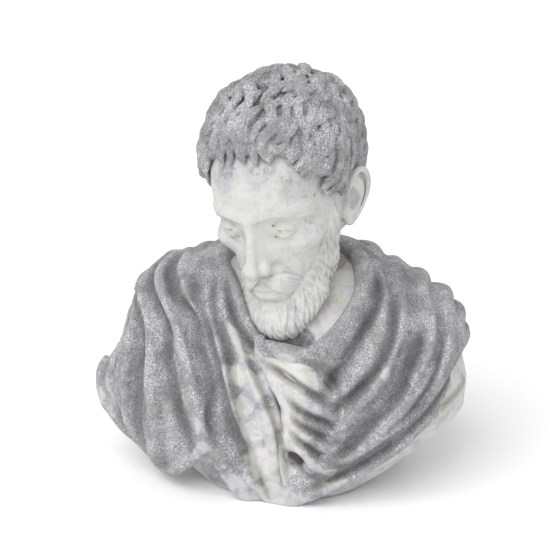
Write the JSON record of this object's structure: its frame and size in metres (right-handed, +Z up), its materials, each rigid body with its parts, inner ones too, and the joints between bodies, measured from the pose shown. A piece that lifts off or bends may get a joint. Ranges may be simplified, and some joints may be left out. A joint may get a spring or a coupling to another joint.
{
  "type": "marble bust",
  "caption": "Life-size draped portrait bust of a bearded man in weathered marble, head bowed, standing on its own flat foot.",
  "frame": {"origin": "centre of the socle bore's mouth, in the plane of the foot that the bust stands on", "axes": "+Z up; -Y is the way the chest faces; +X is towards the sitter's left arm"},
  "size_m": [0.4484, 0.3005, 0.4777],
  "materials": {
    "chest_marble": "honed white marble, lightly weathered",
    "head_marble": "honed white marble with grey lichen in the hair",
    "cloak_marble": "rough marble, grey with lichen and pitting",
    "mortar": "lime mortar",
    "steel": "plain stainless steel",
    "bronze": "dull bronze"
  },
  "bodies": {
    "root": {"chest": "chest_marble", "head_and_neck": "head_marble", "cloak_right_shoulder": "cloak_marble", "cloak_left_shoulder": "cloak_marble", "cloak_back": "cloak_marble", "neck_bedding": "mortar", "neck_dowel": "steel", "cloak_pins": "bronze", "socle_sleeve": "bronze", "sleeve_grout": "mortar"}
  },
  "joints": []
}
